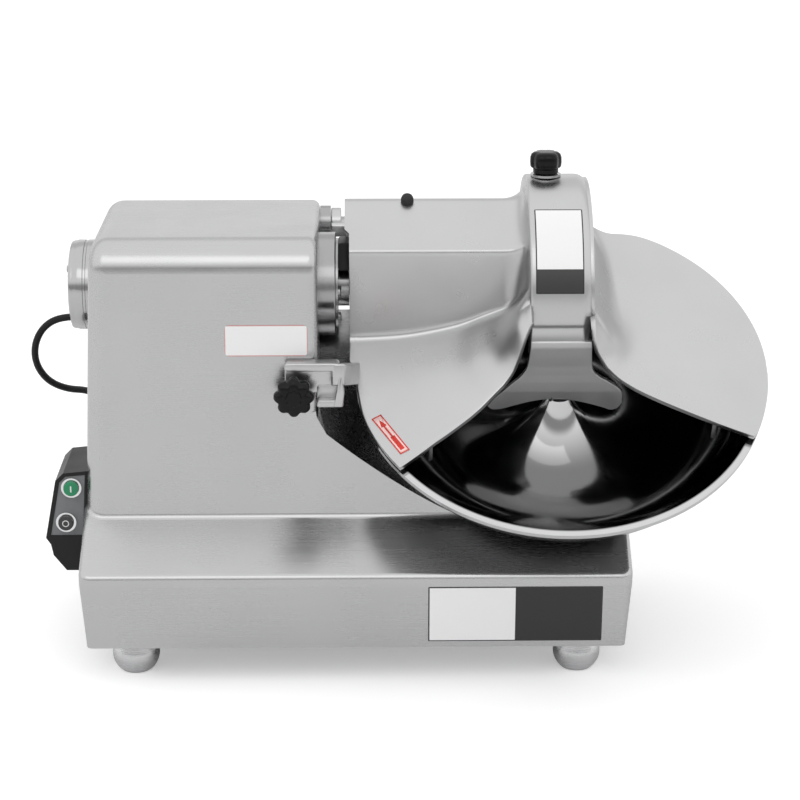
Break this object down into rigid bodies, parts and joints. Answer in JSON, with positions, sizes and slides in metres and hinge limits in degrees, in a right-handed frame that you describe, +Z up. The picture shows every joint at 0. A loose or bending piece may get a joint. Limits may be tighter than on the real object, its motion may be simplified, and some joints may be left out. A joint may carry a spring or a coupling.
{
  "type": "meat bowl cutter",
  "caption": "Tabletop bowl cutter with motor casing, tilted turning bowl, crescent knives on a cross shaft, hinged lid and side hub for attachments.",
  "frame": {"origin": "on the floor under the middle of the machine's box, measured without the mains lead", "axes": "+X along the knife shaft from the attachment hub to the bowl, +Y from the operator to the back, +Z up"},
  "size_m": [0.6532, 0.4286, 0.4287],
  "materials": {
    "casing": "brushed stainless steel sheet",
    "cast_lid": "satin polished casting",
    "bowl": "polished stainless steel",
    "turned_steel": "turned and lightly polished",
    "blade": "ground blade steel",
    "screw_steel": "zinc-coated",
    "foot": "satin",
    "black_plastic": "moulded, slightly rough",
    "knob_plastic": "glossy moulded",
    "green_button": "smooth",
    "dark_button": "smooth",
    "bezel": "bright ring",
    "motor_iron": "painted casting",
    "winding_cover": "grey enamel",
    "bronze": "machined bronze",
    "belt_rubber": "matt",
    "cord_sheath": "smooth rubber",
    "prong": "bright"
  },
  "bodies": {
    "casing": {"casing_shell": "casing", "bottom_plate": "turned_steel", "plate_screws": "screw_steel", "feet": "foot", "foot_screws": "screw_steel", "motor_stator": "winding_cover", "motor_end_bells": "motor_iron", "motor_cradle": "motor_iron", "motor_capacitor": "black_plastic", "drive_belt": "belt_rubber", "worm_bearing_block": "turned_steel", "spindle_housing": "turned_steel", "spindle_housing_bolts": "screw_steel", "spindle_bearings": "turned_steel", "attachment_hub": "turned_steel", "hub_screw": "screw_steel", "bearing_ring": "turned_steel", "ring_screws": "screw_steel", "knife_bearings": "turned_steel", "seal_nose": "turned_steel", "interlock_switch": "black_plastic", "hinge_boss": "turned_steel", "hinge_pin": "turned_steel", "clamp_bushing": "turned_steel", "control_box": "black_plastic", "control_panel": "black_plastic", "button_bezels": "bezel", "cord_gland": "black_plastic", "cord_tube": "cord_sheath", "cord_coil": "cord_sheath", "plug_body": "black_plastic", "plug_prongs": "prong"},
    "motor": {"motor_shaft": "turned_steel", "motor_rotor": "motor_iron", "motor_fan": "black_plastic", "motor_pulley": "motor_iron", "drive_worm": "turned_steel"},
    "knife_set": {"knife_shaft": "turned_steel", "knife_pulley": "motor_iron", "knife_collars": "turned_steel", "knives": "blade", "knife_nut": "screw_steel"},
    "turning_bowl": {"bowl": "bowl", "bowl_carrier": "turned_steel", "drive_pins": "turned_steel", "bowl_spindle": "turned_steel", "worm_wheel": "bronze"},
    "lid": {"lid_shell": "cast_lid", "comb_guard": "cast_lid", "comb_screws": "screw_steel", "rear_bumper": "belt_rubber", "top_washer": "turned_steel"},
    "clamp_stem": {"clamp_screw": "turned_steel"},
    "clamp_handle": {"clamp_knob": "knob_plastic"},
    "top_stem": {"top_screw": "turned_steel"},
    "top_handle": {"top_knob": "knob_plastic"},
    "start": {"start_button": "green_button"},
    "stop": {"stop_button": "dark_button"}
  },
  "joints": [
    {"name": "motor_spin", "type": "hinge", "parent": "casing", "child": "motor", "pos_m": [-0.16605, 0.02407, 0.12579], "axis": [1, 0, 0], "continuous": true},
    {"name": "knife_spin", "type": "hinge", "parent": "casing", "child": "knife_set", "pos_m": [-0.16605, 0.05742, 0.31113], "axis": [1, 0, 0], "continuous": true},
    {"name": "bowl_spin", "type": "hinge", "parent": "casing", "child": "turning_bowl", "pos_m": [0.13395, -0.00624, 0.246], "axis": [0, -0.5299, 0.848], "continuous": true},
    {"name": "lid_hinge", "type": "hinge", "parent": "casing", "child": "lid", "pos_m": [-0.06105, 0.14176, 0.3476], "axis": [-1, 0, 0], "range_deg": [0, 110]},
    {"name": "clamp_slide", "type": "slide", "parent": "lid", "child": "clamp_stem", "axis": [0, 1, 0], "range_m": [0, 0.008]},
    {"name": "clamp_turn", "type": "hinge", "parent": "clamp_stem", "child": "clamp_handle", "pos_m": [-0.09455, -0.06994, 0.246], "axis": [0, 1, 0], "range_deg": [0, 2304]},
    {"name": "top_slide", "type": "slide", "parent": "lid", "child": "top_stem", "axis": [0, 0, 1], "range_m": [0, 0.003]},
    {"name": "top_turn", "type": "hinge", "parent": "top_stem", "child": "top_handle", "pos_m": [0.12315, 0.05742, 0.40713], "axis": [0, 0, 1], "range_deg": [0, 864]},
    {"name": "start_press", "type": "slide", "parent": "casing", "child": "start", "axis": [0, 1, 0], "range_m": [0, 0.002], "stiffness_N_per_m": 600},
    {"name": "stop_press", "type": "slide", "parent": "casing", "child": "stop", "axis": [0, 1, 0], "range_m": [0, 0.002], "stiffness_N_per_m": 600}
  ],
  "couplings": [
    {"joint": "knife_spin", "follows": "motor_spin", "ratio": 1},
    {"joint": "bowl_spin", "follows": "motor_spin", "ratio": -0.016667},
    {"joint": "clamp_slide", "follows": "clamp_turn", "m_per_rad": 0.00019894},
    {"joint": "top_slide", "follows": "top_turn", "m_per_rad": 0.00019894}
  ]
}
